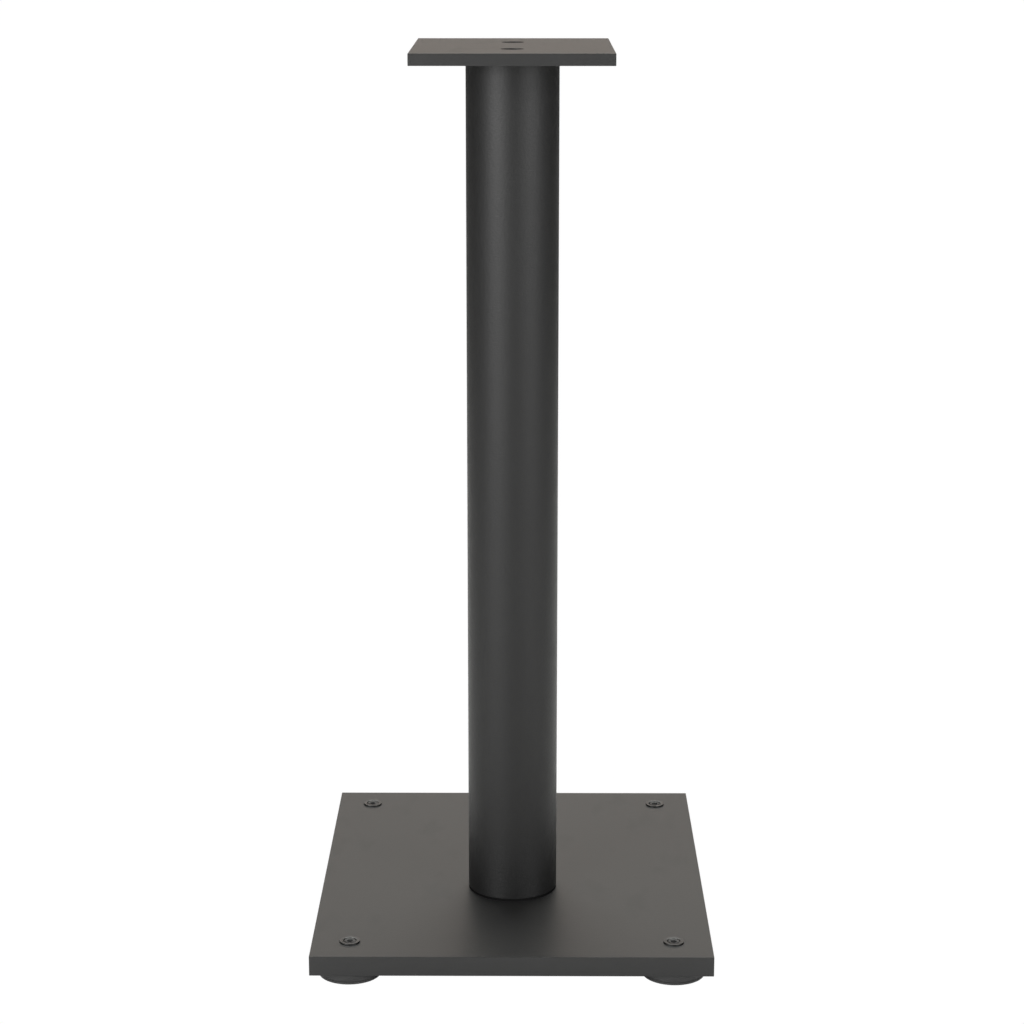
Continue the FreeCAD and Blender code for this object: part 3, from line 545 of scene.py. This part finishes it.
def backdrop_material():
    """Even white, so that the paper looks the same right up to the object's outline."""
    n = Nodes("backdrop_white")
    n.tree.nodes.remove(n.shader)
    glow = n.add("ShaderNodeEmission")
    glow.inputs["Strength"].default_value = BACKDROP
    n.link(glow.outputs[0], n.out.inputs["Surface"])
    return n


def disc_mesh(name, inner, outer, steps=96):
    mesh = bpy.data.meshes.new(name)
    work = bmesh.new()
    rings = []
    for radius in (inner, outer):
        rings.append([work.verts.new((radius * math.cos(2 * math.pi * k / steps), radius * math.sin(2 * math.pi * k / steps), 0.0))
                      for k in range(steps)] if radius > 0 else None)
    if rings[0] is None:
        work.faces.new(rings[1])
    else:
        for k in range(steps):
            j = (k + 1) % steps
            work.faces.new((rings[0][k], rings[1][k], rings[1][j], rings[0][j]))
    work.normal_update()
    for face in work.faces:
        if face.normal.z < 0:
            face.normal_flip()
    work.to_mesh(mesh)
    work.free()
    thing = bpy.data.objects.new(name, mesh)
    scene.collection.objects.link(thing)
    return thing


FLOOR = floor_material()
NEAR_FLOOR = 1.8
near_floor = disc_mesh("floor_near", 0.0, NEAR_FLOOR)
far_floor = disc_mesh("floor_far", NEAR_FLOOR, 60.0)
for ground in (near_floor, far_floor):
    ground.data.materials.append(FLOOR.material)
    ground.visible_camera = False
far_floor.visible_glossy = False

# The floor lights the object from below; what the camera sees of it is an even white shell.
BACKDROP = 1.005
shell_mesh = bpy.data.meshes.new("backdrop")
shell_work = bmesh.new()
bmesh.ops.create_uvsphere(shell_work, u_segments=48, v_segments=24, radius=12.0)
shell_work.to_mesh(shell_mesh)
shell_work.free()
backdrop = bpy.data.objects.new("backdrop", shell_mesh)
scene.collection.objects.link(backdrop)
backdrop.data.materials.append(backdrop_material().material)
backdrop.visible_diffuse = backdrop.visible_glossy = backdrop.visible_transmission = False
backdrop.visible_volume_scatter = backdrop.visible_shadow = False


# ------------------------------------------------------------------ light
def soft_box(name, azimuth, distance, height, width, tall, radiance, colour=(1, 1, 1), aim=None):
    """An area light; azimuth 0 is in front of the object, positive to the right. Level unless aimed."""
    data = bpy.data.lights.new(name, "AREA")
    data.shape = "RECTANGLE"
    data.size, data.size_y = width, tall
    data.energy = radiance * math.pi * width * tall
    data.color = colour
    thing = bpy.data.objects.new(name, data)
    scene.collection.objects.link(thing)
    a = math.radians(azimuth)
    thing.location = (math.sin(a) * distance, COLUMN_Y - math.cos(a) * distance, height)
    thing.rotation_mode = "QUATERNION"
    aim = aim or (0.0, COLUMN_Y, height)
    thing.rotation_quaternion = (Vector(aim) - thing.location).to_track_quat("-Z", "Y")
    thing.visible_camera = False
    return thing


# name: azimuth, distance, height of the middle, width, height, radiance
BOXES = {
    "box_left_inner": (-27.5, 1.6, 0.65, 0.42, 0.4, 13.9),
    "box_left_middle": (-42.5, 1.6, 0.65, 0.42, 0.4, 21.0),
    "box_left_outer": (-57.5, 1.6, 0.65, 0.42, 0.4, 1.4),
    "box_right_inner": (27.5, 1.6, 0.65, 0.42, 0.4, 5.1),
    "box_right_middle": (42.5, 1.6, 0.65, 0.42, 0.4, 13.7),
    "box_right_outer": (57.5, 1.6, 0.65, 0.42, 0.4, 6.8),
    "panel_behind_low": (180.0, 0.9, 0.125, 1.4, 0.25, 0.15),
    "panel_behind_high": (180.0, 0.9, 0.375, 1.4, 0.25, 0.45),
}
LIGHTS = {name: soft_box(name, *values) for name, values in BOXES.items()}

# The studio round the object, as soft-edged windows of the sky. Azimuth from the front, in
# degrees: "both" windows stand on both sides, in "side" ones the right is positive. Then
# elevation and colour.
WINDOWS = [
    ("both", -5, 60, -95, 0, (0.36, 0.36, 0.36)),
    ("both", 60, 100, -95, 0, (0.22, 0.22, 0.22)),
    ("both", 100, 140, -95, 0, (0.145, 0.137, 0.13)),
    ("both", 140, 185, -95, 0, (0.05, 0.05, 0.045)),
    ("side", -65, -20, 0, 12, (4.0, 4.0, 4.0)),
    ("side", -35, -20, 12, 28, (6.2, 6.2, 6.2)),
    ("side", -50, -35, 12, 28, (3.9, 3.9, 3.9)),
    ("side", -65, -50, 12, 28, (5.2, 5.2, 5.2)),
    ("side", 20, 35, 12, 28, (4.55, 4.55, 4.55)),
    ("side", 35, 50, 12, 28, (3.45, 3.45, 3.45)),
    ("side", 50, 65, 12, 28, (11.9, 11.9, 11.9)),
    ("side", 25, 65, 28, 50, (0.73, 0.73, 0.73)),
    ("both", 100, 140, 28, 50, (1.55, 1.47, 1.4)),
    ("both", 162, 185, 14, 20, (2.28, 1.86, 1.6)),
    ("both", 162, 185, 20, 28, (0.45, 0.42, 0.37)),
    ("both", 140, 162, 28, 40, (2.3, 2.3, 2.2)),
    ("both", 140, 162, 40, 60, (5.9, 6.0, 5.75)),
    ("both", 162, 185, 40, 60, (5.5, 5.6, 5.35)),
    ("both", 140, 185, 60, 95, (6.4, 6.45, 6.2)),
]

world = bpy.data.worlds.new("studio")
scene.world = world
world.use_nodes = True
tree = world.node_tree
tree.nodes.clear()
w_out = tree.nodes.new("ShaderNodeOutputWorld")
w_bg = tree.nodes.new("ShaderNodeBackground")
tree.links.new(w_bg.outputs[0], w_out.inputs["Surface"])
w_xyz = tree.nodes.new("ShaderNodeSeparateXYZ")
tree.links.new(tree.nodes.new("ShaderNodeTexCoord").outputs["Generated"], w_xyz.inputs[0])


def w_math(operation, a, b=None):
    node = tree.nodes.new("ShaderNodeMath")
    node.operation = operation
    for k, value in enumerate((a, b)):
        if isinstance(value, (int, float)):
            node.inputs[k].default_value = value
        elif value is not None:
            tree.links.new(value, node.inputs[k])
    return node.outputs[0]


def w_ramp(value, middle, falling=False):
    """Two degrees of soft edge about the middle."""
    node = tree.nodes.new("ShaderNodeMapRange")
    node.inputs["From Min"].default_value = middle - 1.0
    node.inputs["From Max"].default_value = middle + 1.0
    node.inputs["To Min"].default_value = 1.0 if falling else 0.0
    node.inputs["To Max"].default_value = 0.0 if falling else 1.0
    tree.links.new(value, node.inputs["Value"])
    return node.outputs[0]


TO_DEGREES = 180.0 / math.pi
w_side = w_math("MULTIPLY", w_math("ARCTAN2", w_xyz.outputs[0], w_math("MULTIPLY", w_xyz.outputs[1], -1.0)), TO_DEGREES)
w_angle = {"side": w_side, "both": w_math("ABSOLUTE", w_side),
           "height": w_math("MULTIPLY", w_math("ARCSINE", w_xyz.outputs[2]), TO_DEGREES)}
w_bands = {}


def w_band(kind, low, high):
    if (kind, low, high) not in w_bands:
        w_bands[kind, low, high] = w_math("MULTIPLY", w_ramp(w_angle[kind], low), w_ramp(w_angle[kind], high, True))
    return w_bands[kind, low, high]


w_total = None
for kind, left, right, low, high, colour in WINDOWS:
    share = w_math("MULTIPLY", w_band(kind, left, right), w_band("height", low, high))
    tint = tree.nodes.new("ShaderNodeVectorMath")
    tint.operation = "MULTIPLY_ADD"
    tree.links.new(share, tint.inputs[0])
    tint.inputs[1].default_value = colour
    if w_total is not None:
        tree.links.new(w_total, tint.inputs[2])
    else:
        tint.inputs[2].default_value = (0.0, 0.0, 0.0)
    w_total = tint.outputs[0]
tree.links.new(w_total, w_bg.inputs["Color"])
